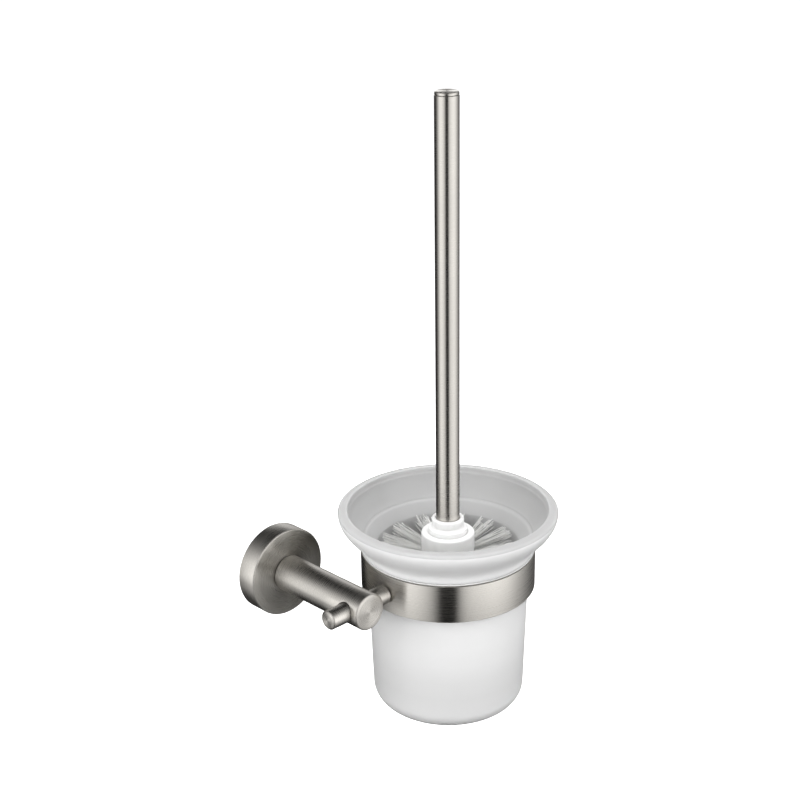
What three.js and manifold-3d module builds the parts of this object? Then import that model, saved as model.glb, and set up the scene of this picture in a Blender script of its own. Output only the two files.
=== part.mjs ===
// A wall-mounted toilet brush holder: a round rose and arm, a cross rod through the arm, and a flat band
// ring that carries a frosted glass cup with a brush standing in it.
// Millimetres, +Z up, +Y into the wall. The origin is the centre of the rose's back, on the wall's face.
import * as THREE from "three";
import { mergeVertices } from "three/addons/utils/BufferGeometryUtils.js";
import Module from "manifold-3d";

const wasm = await Module();
wasm.setup();

// Clearances and facets
const seatGap = 0.3; // between two pieces that touch
const screwGap = 0.3; // round a screw in its hole
const overcut = 1; // how far a cutter runs past the face it opens
const fineSides = 48; // round the rose, the ring and the cup
const barSides = 32; // round the bars, the handle and the brush
const smallSides = 20; // round the screws
const hexSides = 6;
const finePoint = 0.5; // chamfer at the end of a small screw or plug

// Wall plate, and the two screws that hold it
const plateRadialGap = 0.5; // between the plate's rim and the inside of the rose
const plateThickness = 6.5;
const plateWeb = 3.2; // left behind the pocket for the arm screw's head
const platePocketRadius = 8;
const plateGrooveDepth = 2; // the V-groove that the rose's grub screw bites into
const wallScrewPitch = 27; // from one wall screw to the other
const wallScrewRadius = 1.9;
const wallScrewHeadRadius = 3.8;
const wallScrewHeadHeight = 2.5;
const wallScrewReach = 12; // how far the screw stands out behind the plate
const wallScrewPoint = 3.5;
const wallScrewDome = 1; // height of the head's chamfer
const wallScrewDomeInset = 1.2; // how far that chamfer runs in from the head's edge
const wallScrewSlot = { width: 0.9, length: 4.2, depth: 1.2 };

// Rose and arm
const roseRadius = 23.2;
const roseDepth = 11.2;
const roseWall = 1.6;
const roseChamfer = 0.6;
const armRadius = 9.4;
const armEnd = 72.8; // from the wall to the arm's free end
const armChamfer = 0.6;
const armScrewRadius = 3;
const armScrewHeadRadius = 5.2;
const armScrewHeadHeight = 3;
const armScrewGrip = 14; // how far the arm screw runs into the arm
const armScrewEdge = 0.8; // chamfer on the head and at the tip
const armScrewSocketFlats = 4;
const armScrewSocketDepth = 2;
const washerRadius = 7;
const washerThickness = 1;
const tapRelief = 2; // depth of a blind hole past the tip of its screw

// Grub screws
const grubRadius = 2;
const grubSocketFlats = 2;
const grubSocketDepth = 1.6;
const grubPoint = 1;
const grubSink = 0.3; // how far a grub screw's end lies under the surface it is driven from

// Cross rod
const rodRadius = 4.95;
const rodReach = 64; // from the wall to the rod's axis
const rodStub = 20; // how far the rod's free end stands out from the arm's axis
const rodChamfer = 0.7;
const rodBoreGap = 0.3; // between the rod and its hole in the arm

// Band ring, its liner and its screw
const ringOffset = 64; // from the arm's axis to the ring's axis
const bandRadius = 45.1;
const bandWall = 1.8;
const bandTop = 10.1;
const bandBottom = -9.7;
const bandChamfer = 0.3;
const bandScrewRadius = 1.9;
const bandScrewHeadRadius = 3.3;
const bandScrewGrip = 10; // how far the band screw runs into the rod
const bandScrewSocketFlats = 2.4;
const bandScrewSocketDepth = 1.2;
const linerWall = 0.5;
const linerLip = 0.7; // height of the lip that lies on the band's top edge
const linerInset = 1.2; // how far the liner stops short of the band's bottom edge

// Glass cup
const cupClearance = 0.3; // between the glass and the liner
const cupBottom = -76.6;
const cupTaper = 2.5; // how much less radius the foot has than the neck
const cupFootFillet = 9.6;
const cupPuntRadius = 26;
const cupPuntDepth = 0.8;
const cupFloor = 6;
const cupFootWall = 4.1;
const cupNeckWall = 5.2;
const cupInnerFillet = 8;
const cupNeckFillet = 1.6; // height of the fillet under the shoulder
const cupShoulderInset = 0.3; // between the shoulder's edge and the band's outer surface
const cupShoulderHeight = 1; // of the shoulder's upright edge
const cupThroatRise = 0.1; // how far the top of the bore lies above the shoulder
const cupStepInset = 1.2; // from the shoulder's edge in to the small step inside
const cupStepRise = 7.3; // from the shoulder up to that step
const cupStepWidth = 1.4;
const cupStepDrop = 0.8;
const cupRimRadius = 56.5;
const cupRimTop = 33;
const cupRimRound = 1.6; // at the rim's outer edge
const cupRimFall = 0.6; // the rim's top lies this much lower at its outer edge
const cupLipWidth = 5; // from the rim's outer edge to its inner one
const cupLipRound = 0.8; // at the rim's inner edge
const cupLipHeight = 3.2; // from the rim's top to where the lip runs out into the flare
const cupLipDraft = 0.8; // how far the lip's inner face leans in over that height

// Brush handle
const handleRadius = 6;
const handleWall = 0.8;
const handleTop = 245;
const handleCapHeight = 1.8;
const handleCapRound = 0.9;
const handleEdge = 0.15; // broken edge where the tube meets its cap
const capPlugDepth = 9;
const spigotRadius = 4.2; // the threaded end below the tube
const spigotGrip = 16; // how far the spigot is pressed up into the tube
const spigotReach = 20; // how far its thread runs down into the brush core

// Brush head
const ferruleBottom = 18.6;
const ferruleTop = 27;
const ferruleSkirtRadius = 10.1;
const ferruleSkirtHeight = 3.2;
const ferruleNeckRadius = 8.3;
const ferruleGroove = 0.3; // depth of the groove between skirt and neck
const ferruleGrooveHeight = 1.6;
const ferruleRound = 0.7;
const ferruleSocketDepth = 4.6; // how far the tube stands down in the ferrule
const collarRadius = 13.7;
const collarTop = 19.2;
const collarHeight = 11;
const collarRound = 1;
const coreRadius = 8.5;
const coreRound = 3; // round the core's lower end
const coreStandoff = 9; // from the cup's floor up to the core's end
const tuftGap = 0.5; // between the tufts and the core, the cup and each other
const tuftWallGap = 1.9; // between the tips of the tufts and the glass
const tuftRows = 6;
const tuftRowPitch = 11.6;
const tuftRootHeight = 5;
const tuftTipHeight = 7.4;
const topRowRise = 6.6; // how much higher the tips of the top row lie than its roots
const rowRiseStep = 2; // each row below rises this much less
const tipTuftSpread = 6; // how much wider than the core the tufts below it splay
const tipTuftEdge = 2; // height of the rounded edge of those tufts
const tipTuftRootInset = 3; // how far inside the core's edge they start

const steel = { color: 0xb4afa7, roughness: 0.34, metalness: 1 };
const darkSteel = { color: 0x6f6c68, roughness: 0.45, metalness: 1 };
const zinc = { color: 0x9a9a98, roughness: 0.55, metalness: 1 };
const frostedGlass = { color: 0xe6e6e6, roughness: 0.7, metalness: 0 };
const whitePlastic = { color: 0xf0f0ee, roughness: 0.45, metalness: 0 };
const nylon = { color: 0xf4f4f2, roughness: 0.6, metalness: 0 };
const clearPlastic = { color: 0xdcdcda, roughness: 0.3, metalness: 0 };

// Derived sizes
const roseInner = roseRadius - roseWall;
const plateRadius = roseInner - plateRadialGap;
const plateGrooveAt = plateThickness / 2;
const bandInner = bandRadius - bandWall;
const linerOuter = bandInner - seatGap;
const linerInner = linerOuter - linerWall;
const linerTop = bandTop + seatGap + linerLip;
const cupNeckRadius = linerInner - cupClearance;
const cupFootRadius = cupNeckRadius - cupTaper;
const cupBoreRadius = cupFootRadius - cupFootWall; // inside, just above the floor
const cupThroatRadius = cupNeckRadius - cupNeckWall;
const cupShoulder = linerTop + seatGap;
const cupShoulderRadius = bandRadius - cupShoulderInset;
const cupThroat = cupShoulder + cupThroatRise;
const cupFloorTop = cupBottom + cupFloor;
const tubeBottom = ferruleTop - ferruleSocketDepth;
const tubeTop = handleTop - handleCapHeight;
const collarBottom = collarTop - collarHeight;
const rodEnd = ringOffset - bandRadius - seatGap;

// A three.js geometry as a solid that can be joined and cut.
function solidOf(geometry) {
  const bare = geometry.index ? geometry.toNonIndexed() : geometry.clone();
  bare.deleteAttribute("normal");
  bare.deleteAttribute("uv");
  const merged = mergeVertices(bare, 1e-4);
  const corners = merged.index.array;
  const kept = [];
  for (let i = 0; i < corners.length; i += 3) {
    const [a, b, c] = corners.slice(i, i + 3);
    if (a !== b && b !== c && c !== a) kept.push(a, b, c);
  }
  return new wasm.Manifold(
    new wasm.Mesh({
      numProp: 3,
      vertProperties: merged.attributes.position.array,
      triVerts: new Uint32Array(kept),
    }),
  );
}

// A solid turned round the local Y axis from [radius, height] points, listed with the solid on their left.
function turned(points, sides = fineSides, place = new THREE.Matrix4()) {
  const outline = points.map(([radius, height]) => new THREE.Vector2(radius, height));
  return solidOf(new THREE.LatheGeometry(outline, sides).applyMatrix4(place));
}

// A closed ring: the outline comes back to its first point.
function ring(points, sides = fineSides, place = new THREE.Matrix4()) {
  return turned([...points, points[0]], sides, place);
}

// A round bar from one height to another.
function bar(radius, from, to, sides = smallSides, place = new THREE.Matrix4()) {
  return turned([[0, from], [radius, from], [radius, to], [0, to]], sides, place);
}

// A hexagon socket's cutter.
function hexBar(acrossFlats, from, to) {
  return bar(acrossFlats / Math.sqrt(3), from, to, hexSides);
}

// Points on an arc from one angle to another, in degrees, counted from straight out towards up.
function arc(centreRadius, centreHeight, radius, fromAngle, toAngle, steps = 4) {
  return Array.from({ length: steps + 1 }, (_, i) => {
    const angle = THREE.MathUtils.degToRad(fromAngle + ((toAngle - fromAngle) * i) / steps);
    return [centreRadius + radius * Math.cos(angle), centreHeight + radius * Math.sin(angle)];
  });
}

// Points on a cubic curve between two ends with their handles.
function sweep(start, startHandle, endHandle, end, steps) {
  const points = [start, startHandle, endHandle, end].map(([x, y]) => new THREE.Vector2(x, y));
  return new THREE.CubicBezierCurve(...points).getPoints(steps).map((p) => [p.x, p.y]);
}

const quarter = Math.PI / 2;
// Turns of a cutter or a piece whose own axis is local Y.
const alongX = new THREE.Matrix4().makeRotationZ(-quarter);
const alongZ = new THREE.Matrix4().makeRotationX(quarter);

function shifted(x, y, z, turn = new THREE.Matrix4()) {
  return new THREE.Matrix4().makeTranslation(x, y, z).multiply(turn);
}

// The holder's group, with one group for each way its round pieces face.
const holder = new THREE.Group();

// Local +Y runs out from the wall along the arm, and local +Z runs down.
const armAxis = new THREE.Group();
armAxis.rotation.x = Math.PI;

// Local +Y runs along the rod towards the ring.
const rodAxis = new THREE.Group();
rodAxis.position.y = -rodReach;
rodAxis.rotation.z = -quarter;

// Local +Y runs up through the ring, the cup and the brush.
const ringAxis = new THREE.Group();
ringAxis.position.set(ringOffset, -rodReach, 0);
ringAxis.rotation.x = quarter;

holder.add(armAxis, rodAxis, ringAxis);

function addMesh(group, name, solid, look) {
  const { numProp, vertProperties, triVerts } = solid.getMesh();
  const positions = new THREE.BufferAttribute(new Float32Array(vertProperties), numProp);
  const geometry = new THREE.BufferGeometry();
  geometry.setAttribute("position", positions);
  geometry.setIndex(new THREE.BufferAttribute(new Uint32Array(triVerts), 1));
  geometry.computeVertexNormals();
  const mesh = new THREE.Mesh(geometry, new THREE.MeshStandardMaterial(look));
  mesh.name = name;
  group.add(mesh);
  return mesh;
}

const platePocketFloor = plateWeb;
const wallScrewSeat = plateThickness - wallScrewHeadHeight - 2 * seatGap;
const wallScrewPlaces = { upper: -wallScrewPitch / 2, lower: wallScrewPitch / 2 };

function wallPlate() {
  let plate = turned([
    [0, 0],
    [plateRadius, 0],
    [plateRadius, plateGrooveAt - plateGrooveDepth],
    [plateRadius - plateGrooveDepth, plateGrooveAt],
    [plateRadius, plateGrooveAt + plateGrooveDepth],
    [plateRadius, plateThickness],
    [0, plateThickness],
  ]);
  plate = plate.subtract(bar(platePocketRadius, platePocketFloor, plateThickness + overcut));
  for (const z of Object.values(wallScrewPlaces)) {
    const place = shifted(0, 0, z);
    const headRoom = wallScrewHeadRadius + screwGap;
    plate = plate
      .subtract(bar(wallScrewRadius + screwGap, -overcut, plateThickness, smallSides, place))
      .subtract(bar(headRoom, wallScrewSeat, plateThickness + overcut, smallSides, place));
  }
  return plate;
}

// Local +Y runs from the point of the screw to its head.
function wallScrew() {
  const headFrom = wallScrewSeat + seatGap;
  const headTo = headFrom + wallScrewHeadHeight;
  const screw = turned(
    [
      [0, -wallScrewReach],
      [wallScrewRadius, wallScrewPoint - wallScrewReach],
      [wallScrewRadius, headFrom],
      [wallScrewHeadRadius, headFrom],
      [wallScrewHeadRadius, headTo - wallScrewDome],
      [wallScrewHeadRadius - wallScrewDomeInset, headTo],
      [0, headTo],
    ],
    smallSides,
  );
  const { width, length, depth } = wallScrewSlot;
  const slot = new THREE.BoxGeometry(width, 2 * depth, length);
  const slots = [0, quarter].map((turn) =>
    solidOf(slot.clone().rotateY(turn).translate(0, headTo, 0)),
  );
  return screw.subtract(slots[0].add(slots[1]));
}

addMesh(armAxis, "wall_plate", wallPlate(), zinc);
for (const [side, z] of Object.entries(wallScrewPlaces)) {
  addMesh(armAxis, "wall_screw_" + side, wallScrew(), darkSteel).position.z = z;
}

const roseFloor = roseDepth - roseWall;

function rose() {
  const shell = turned([
    [0, roseFloor],
    [roseInner, roseFloor],
    [roseInner, 0],
    [roseRadius, 0],
    [roseRadius, roseDepth - roseChamfer],
    [roseRadius - roseChamfer, roseDepth],
    [0, roseDepth],
  ]);
  const screwHole = bar(armScrewRadius + screwGap, roseFloor - overcut, roseDepth + overcut);
  const grubPlace = shifted(0, plateGrooveAt, 0, alongZ);
  const grubHole = bar(grubRadius + screwGap, 0, roseRadius + overcut, smallSides, grubPlace);
  return shell.subtract(screwHole).subtract(grubHole);
}

// Local +Y runs from the point of the grub screw to its socket. Heights are measured from the axis of the
// piece that it is driven into.
function grubScrew(tip, end) {
  const body = turned(
    [
      [0, tip],
      [grubRadius - grubPoint, tip],
      [grubRadius, tip + grubPoint],
      [grubRadius, end],
      [0, end],
    ],
    smallSides,
  );
  return body.subtract(hexBar(grubSocketFlats, end - grubSocketDepth, end + overcut));
}

const roseGrubTip = plateRadius - plateGrooveDepth + grubRadius / 2 + seatGap;
const roseGrubSolid = grubScrew(roseGrubTip, roseRadius - grubSink);
addMesh(armAxis, "rose", rose(), steel);
const roseGrub = addMesh(armAxis, "rose_grub_screw", roseGrubSolid, darkSteel);
roseGrub.position.y = plateGrooveAt;
roseGrub.rotation.x = quarter;

const armStart = roseDepth + seatGap;
const armScrewTip = armStart + armScrewGrip;

function arm() {
  const blank = turned(
    [
      [0, armStart],
      [armRadius - armChamfer / 2, armStart],
      [armRadius, armStart + armChamfer / 2],
      [armRadius, armEnd - armChamfer],
      [armRadius - armChamfer, armEnd],
      [0, armEnd],
    ],
    barSides,
  );
  const screwHole = bar(armScrewRadius + screwGap, armStart - overcut, armScrewTip + tapRelief);
  const past = armRadius + overcut;
  const rodHole = bar(rodRadius + rodBoreGap, -past, past, barSides, shifted(0, rodReach, 0, alongX));
  const grubHole = bar(grubRadius + screwGap, 0, past, smallSides, shifted(0, rodReach, 0, alongZ));
  return blank.subtract(screwHole).subtract(rodHole).subtract(grubHole);
}

const washerFrom = roseFloor - seatGap - washerThickness;
const armScrewHeadTop = washerFrom - seatGap;

function armWasher() {
  const hole = armScrewRadius + screwGap;
  return ring(
    [
      [hole, washerFrom],
      [washerRadius, washerFrom],
      [washerRadius, washerFrom + washerThickness],
      [hole, washerFrom + washerThickness],
    ],
    smallSides,
  );
}

function armScrew() {
  const headBottom = armScrewHeadTop - armScrewHeadHeight;
  const screw = turned(
    [
      [0, headBottom],
      [armScrewHeadRadius - armScrewEdge, headBottom],
      [armScrewHeadRadius, headBottom + armScrewEdge],
      [armScrewHeadRadius, armScrewHeadTop],
      [armScrewRadius, armScrewHeadTop],
      [armScrewRadius, armScrewTip - armScrewEdge],
      [armScrewRadius - armScrewEdge, armScrewTip],
      [0, armScrewTip],
    ],
    smallSides,
  );
  const socketFloor = headBottom + armScrewSocketDepth;
  return screw.subtract(hexBar(armScrewSocketFlats, headBottom - overcut, socketFloor));
}

addMesh(armAxis, "arm", arm(), steel);
addMesh(armAxis, "arm_washer", armWasher(), darkSteel);
addMesh(armAxis, "arm_screw", armScrew(), darkSteel);

const rodGrub = addMesh(
  armAxis,
  "rod_grub_screw",
  grubScrew(rodRadius + seatGap, armRadius - grubSink - grubRadius ** 2 / (2 * armRadius)),
  darkSteel,
);
rodGrub.position.y = rodReach;
rodGrub.rotation.x = quarter;

function crossRod() {
  const joint = rodChamfer / 2;
  const blank = turned(
    [
      [0, -rodStub],
      [rodRadius - rodChamfer, -rodStub],
      [rodRadius, rodChamfer - rodStub],
      [rodRadius, rodEnd - joint],
      [rodRadius - joint, rodEnd],
      [0, rodEnd],
    ],
    barSides,
  );
  const holeRadius = bandScrewRadius + screwGap;
  return blank.subtract(bar(holeRadius, rodEnd - bandScrewGrip - tapRelief, rodEnd + overcut));
}

addMesh(rodAxis, "cross_rod", crossRod(), steel);

const bandFaceInner = ringOffset - bandInner; // along the rod, where the inside of the band starts

function ringBand() {
  const blank = ring([
    [bandInner + bandChamfer, bandBottom],
    [bandRadius - bandChamfer, bandBottom],
    [bandRadius, bandBottom + bandChamfer],
    [bandRadius, bandTop - bandChamfer],
    [bandRadius - bandChamfer, bandTop],
    [bandInner + bandChamfer, bandTop],
    [bandInner, bandTop - bandChamfer],
    [bandInner, bandBottom + bandChamfer],
  ]);
  // The hole for the screw opens into a cone inside the band. Heights here run towards the ring's axis.
  const holeRadius = bandScrewRadius + screwGap;
  const headRoom = bandScrewHeadRadius + screwGap;
  const hole = turned(
    [
      [0, -bandRadius - overcut],
      [holeRadius, -bandRadius - overcut],
      [holeRadius, -bandInner - (headRoom - holeRadius)],
      [headRoom, -bandInner],
      [headRoom, -bandInner + overcut],
      [0, -bandInner + overcut],
    ],
    smallSides,
    alongX,
  );
  return blank.subtract(hole);
}

function ringLiner() {
  const bottom = bandBottom + linerInset;
  const seat = bandTop + seatGap;
  return ring([
    [linerInner, bottom],
    [linerOuter, bottom],
    [linerOuter, seat],
    [bandRadius - bandChamfer, seat],
    [bandRadius - bandChamfer, linerTop],
    [linerInner, linerTop],
  ]);
}

// A countersunk screw from inside the band into the rod.
function bandScrew() {
  const coneHeight = bandScrewHeadRadius - bandScrewRadius;
  const sink = seatGap / 2;
  const headFace = bandFaceInner - sink;
  const tip = rodEnd - bandScrewGrip;
  const screw = turned(
    [
      [0, tip],
      [bandScrewRadius - finePoint, tip],
      [bandScrewRadius, tip + finePoint],
      [bandScrewRadius, headFace - coneHeight],
      [bandScrewHeadRadius, headFace],
      [0, headFace],
    ],
    smallSides,
  );
  const socketFloor = headFace - bandScrewSocketDepth;
  return screw.subtract(hexBar(bandScrewSocketFlats, socketFloor, headFace + overcut));
}

addMesh(ringAxis, "ring_band", ringBand(), steel);
addMesh(ringAxis, "ring_liner", ringLiner(), clearPlastic);
addMesh(rodAxis, "band_screw", bandScrew(), darkSteel);

// The inside radius of the cup's straight part at a height.
function cupBoreAt(height) {
  const share = THREE.MathUtils.clamp((height - cupFloorTop) / (cupThroat - cupFloorTop), 0, 1);
  return cupBoreRadius + (cupThroatRadius - cupBoreRadius) * share;
}

// The curve of the flare's outside, from the shoulder's edge up to the rim's.
function outerFlare(rimEdge) {
  const start = cupShoulder + cupShoulderHeight;
  const height = rimEdge - start;
  const reach = cupRimRadius - cupShoulderRadius;
  const lower = { out: 0.09, up: 0.33 };
  const upper = { out: 0.97, up: 0.54 };
  return sweep(
    [cupShoulderRadius, start],
    [cupShoulderRadius + reach * lower.out, start + height * lower.up],
    [cupShoulderRadius + reach * upper.out, start + height * upper.up],
    [cupRimRadius, rimEdge],
    8,
  );
}

// The curve of the flare's inside, from under the lip down to the step.
function innerFlare(lipRadius, lipFoot, stepRadius, stepHeight) {
  const height = lipFoot - stepHeight;
  const reach = lipRadius - stepRadius;
  const upper = { out: 0.93, up: 0.62 };
  const lower = { out: 0.4, up: 0.16 };
  return sweep(
    [lipRadius, lipFoot],
    [stepRadius + reach * upper.out, stepHeight + height * upper.up],
    [stepRadius + reach * lower.out, stepHeight + height * lower.up],
    [stepRadius, stepHeight],
    7,
  );
}

function glassCup() {
  const innerFillet = Math.min(cupInnerFillet, cupBoreRadius / 2);
  const footFillet = Math.min(cupFootFillet, cupFootRadius / 2);
  const rimEdge = cupRimTop - cupRimFall - cupRimRound;
  const lip = cupRimRadius - cupLipWidth;
  const stepRadius = cupShoulderRadius - cupStepInset;
  const stepHeight = cupShoulder + cupStepRise;
  return turned([
    [0, cupBottom + cupPuntDepth],
    [cupPuntRadius, cupBottom + cupPuntDepth],
    [cupPuntRadius + cupPuntDepth, cupBottom],
    ...arc(cupFootRadius - footFillet, cupBottom + footFillet, footFillet, -90, 0, 5),
    [cupNeckRadius, cupShoulder - cupNeckFillet],
    [cupNeckRadius + cupShoulderInset / 2, cupShoulder],
    [cupShoulderRadius - cupShoulderInset, cupShoulder],
    ...outerFlare(rimEdge),
    ...arc(cupRimRadius - cupRimRound, rimEdge, cupRimRound, 30, 90, 2),
    ...arc(lip + cupLipRound, cupRimTop - cupLipRound, cupLipRound, 90, 180, 2),
    ...innerFlare(lip - cupLipDraft, cupRimTop - cupLipHeight, stepRadius, stepHeight),
    [stepRadius - cupStepWidth, stepHeight - cupStepDrop],
    [cupThroatRadius, cupThroat],
    ...arc(cupBoreRadius - innerFillet, cupFloorTop + innerFillet, innerFillet, 0, -90, 4),
    [0, cupFloorTop],
  ]);
}

addMesh(ringAxis, "glass_cup", glassCup(), frostedGlass);

const tubeInner = handleRadius - handleWall;
const pressedRadius = tubeInner - seatGap;

function handleTube() {
  return ring(
    [
      [tubeInner, tubeBottom],
      [handleRadius, tubeBottom],
      [handleRadius, tubeTop - handleEdge],
      [handleRadius - handleEdge, tubeTop],
      [tubeInner, tubeTop],
    ],
    barSides,
  );
}

function handleCap() {
  const seat = tubeTop + seatGap;
  const plugEnd = seat - capPlugDepth;
  const capRadius = handleRadius - handleEdge;
  return turned(
    [
      [0, plugEnd],
      [pressedRadius - finePoint, plugEnd],
      [pressedRadius, plugEnd + finePoint],
      [pressedRadius, seat],
      [capRadius, seat],
      ...arc(capRadius - handleCapRound, handleTop - handleCapRound, handleCapRound, 0, 90, 3),
      [0, handleTop],
    ],
    barSides,
  );
}

const spigotBottom = tubeBottom - spigotReach;

function handleSpigot() {
  return turned(
    [
      [0, spigotBottom],
      [spigotRadius - finePoint, spigotBottom],
      [spigotRadius, spigotBottom + finePoint],
      [spigotRadius, tubeBottom - seatGap],
      [pressedRadius, tubeBottom + seatGap],
      [pressedRadius, tubeBottom + spigotGrip],
      [0, tubeBottom + spigotGrip],
    ],
    smallSides,
  );
}

addMesh(ringAxis, "handle_tube", handleTube(), steel);
addMesh(ringAxis, "handle_cap", handleCap(), steel);
addMesh(ringAxis, "handle_spigot", handleSpigot(), darkSteel);

const spigotHole = spigotRadius + screwGap;
const socketRadius = handleRadius + seatGap;

function brushFerrule() {
  const skirtTop = ferruleBottom + ferruleSkirtHeight;
  const round = ferruleRound;
  return ring(
    [
      [spigotHole, ferruleBottom],
      [ferruleSkirtRadius, ferruleBottom],
      ...arc(ferruleSkirtRadius - round, skirtTop - round, round, 0, 90, 2),
      [ferruleNeckRadius + ferruleGroove, skirtTop + ferruleGroove],
      [ferruleNeckRadius - ferruleGroove, skirtTop + ferruleGrooveHeight / 2],
      [ferruleNeckRadius, skirtTop + ferruleGrooveHeight],
      ...arc(ferruleNeckRadius - round, ferruleTop - round, round, 0, 90, 2),
      [socketRadius, ferruleTop],
      [socketRadius, tubeBottom - seatGap],
      [spigotHole, tubeBottom - seatGap],
    ],
    barSides,
  );
}

const coreBottom = cupFloorTop + coreStandoff;

function brushCore() {
  const recess = ferruleBottom - seatGap;
  const recessRadius = ferruleSkirtRadius + seatGap;
  const core = turned(
    [
      [0, coreBottom],
      ...arc(coreRadius - coreRound, coreBottom + coreRound, coreRound, -90, 0, 2),
      [coreRadius, collarBottom],
      ...arc(collarRadius - collarRound, collarBottom + collarRound, collarRound, -90, 0, 2),
      ...arc(collarRadius - collarRound, collarTop - collarRound, collarRound, 0, 90, 2),
      [recessRadius, collarTop],
      [recessRadius, recess],
      [0, recess],
    ],
    barSides,
  );
  return core.subtract(bar(spigotHole, spigotBottom - tapRelief, recess + overcut));
}

// One row of tufts, as the plain solid that its filaments fill. Its tips lie higher than its roots in the
// upper rows and lower in the bottom ones, and stay clear of the glass.
function bristleRow(row) {
  const rootTop = collarBottom - tuftGap - row * tuftRowPitch;
  const rise = topRowRise - row * rowRiseStep;
  const tipTop = rootTop + rise;
  const tipBottom = tipTop - tuftTipHeight;
  const filletTop = cupFloorTop + cupInnerFillet;
  const drop = Math.max(0, filletTop - tipBottom);
  const bend = Math.sqrt(Math.max(0, cupInnerFillet ** 2 - drop ** 2));
  const tipRadius = cupBoreAt(tipBottom) - tuftWallGap - (cupInnerFillet - bend);
  const rootRadius = coreRadius + tuftGap;
  return ring(
    [
      [rootRadius, rootTop - tuftRootHeight],
      [tipRadius, tipBottom],
      [tipRadius, tipTop],
      [collarRadius + tuftGap, rootTop],
      [rootRadius, rootTop],
    ],
    barSides,
  );
}

// The tufts below the core's end.
function bristleTip() {
  const top = coreBottom - tuftGap;
  const bottom = cupFloorTop + tuftGap;
  const spread = coreRadius + tipTuftSpread;
  return turned(
    [
      [0, bottom],
      [spread - tipTuftEdge, bottom],
      [spread, bottom + tipTuftEdge],
      [coreRadius - tipTuftRootInset, top],
      [0, top],
    ],
    barSides,
  );
}

addMesh(ringAxis, "brush_ferrule", brushFerrule(), whitePlastic);
addMesh(ringAxis, "brush_core", brushCore(), whitePlastic);
for (let row = 0; row < tuftRows; row++) {
  addMesh(ringAxis, "bristle_row_" + (row + 1), bristleRow(row), nylon);
}
addMesh(ringAxis, "bristle_tip", bristleTip(), nylon);

export default holder;
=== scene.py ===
import math

import bpy
from mathutils import Matrix, Vector


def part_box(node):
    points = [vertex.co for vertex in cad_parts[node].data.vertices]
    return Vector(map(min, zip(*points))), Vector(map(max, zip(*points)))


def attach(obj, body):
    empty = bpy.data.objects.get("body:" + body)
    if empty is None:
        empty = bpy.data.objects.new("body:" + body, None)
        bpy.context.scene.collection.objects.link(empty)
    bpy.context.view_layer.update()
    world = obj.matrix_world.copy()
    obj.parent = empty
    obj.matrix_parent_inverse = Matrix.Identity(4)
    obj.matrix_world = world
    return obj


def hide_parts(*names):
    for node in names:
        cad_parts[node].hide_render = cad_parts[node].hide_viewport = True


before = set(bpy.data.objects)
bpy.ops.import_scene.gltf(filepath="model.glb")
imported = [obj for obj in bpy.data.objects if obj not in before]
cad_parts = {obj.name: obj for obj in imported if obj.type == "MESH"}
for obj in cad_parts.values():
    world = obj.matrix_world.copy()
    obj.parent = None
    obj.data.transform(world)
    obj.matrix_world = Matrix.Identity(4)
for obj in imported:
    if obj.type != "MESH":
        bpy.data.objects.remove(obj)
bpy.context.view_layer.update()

# A wall-mounted toilet brush holder: rose, arm, cross rod, band ring, frosted glass cup and brush.
# Metres, +Z up, +Y into the wall, origin at the back of the rose. Sizes of pieces are millimetres.
mm = 0.001
overcut = 2  # how far a drill runs past the surface it opens
scene = bpy.context.scene


def linearColour(hexCode):
    # sRGB hex to the linear values that the shaders want
    parts = [int(hexCode[i:i + 2], 16) / 255 for i in (1, 3, 5)]
    return tuple(c / 12.92 if c <= 0.04045 else ((c + 0.055) / 1.055) ** 2.4 for c in parts) + (1.0,)


def addNode(tree, kind, links=None, **settings):
    # links fill its sockets with another node's first output, any socket or a plain value
    node = tree.nodes.new(kind)
    for key, value in settings.items():
        setattr(node, key, value)
    for key, value in (links or {}).items():
        if isinstance(value, bpy.types.Node):
            value = value.outputs[0]
        if isinstance(value, bpy.types.NodeSocket):
            tree.links.new(value, node.inputs[key])
        else:
            node.inputs[key].default_value = value
    return node


def newMaterial(name):
    material = bpy.data.materials.new(name)
    material.use_nodes = True
    material.node_tree.nodes.clear()
    return material, material.node_tree


def arc(centreRadius, centreHeight, radius, fromAngle, toAngle, steps=6):
    # points on part of a circle, angles from straight out towards up
    points = []
    for i in range(steps + 1):
        angle = math.radians(fromAngle + (toAngle - fromAngle) * i / steps)
        points.append((centreRadius + radius * math.cos(angle), centreHeight + radius * math.sin(angle)))
    return points


def between(table, place):
    # reads a value off a list of (place, value) points joined by straight lines
    if place <= table[0][0]:
        return table[0][1]
    for (a, low), (b, high) in zip(table, table[1:]):
        if place <= b:
            return low + (high - low) * (place - a) / (b - a)
    return table[-1][1]


def divide(start, end, count):
    # the points that divide a straight line into so many steps, without its ends
    run, rise = end[0] - start[0], end[1] - start[1]
    return [(start[0] + run * k / count, start[1] + rise * k / count) for k in range(1, count)]


def fromCorner(corner, shifts):
    # points given by how far out and up they lie from a corner
    return [(corner[0] + out, corner[1] + up) for out, up in shifts]


def sweep(start, startHandle, endHandle, end, steps=16):
    # points on a cubic curve
    corners = (start, startHandle, endHandle, end)
    points = []
    for i in range(steps + 1):
        t = i / steps
        weights = ((1 - t) ** 3, 3 * t * (1 - t) ** 2, 3 * t * t * (1 - t), t ** 3)
        points.append(tuple(sum(w * p[k] for w, p in zip(weights, corners)) for k in (0, 1)))
    return points


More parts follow.
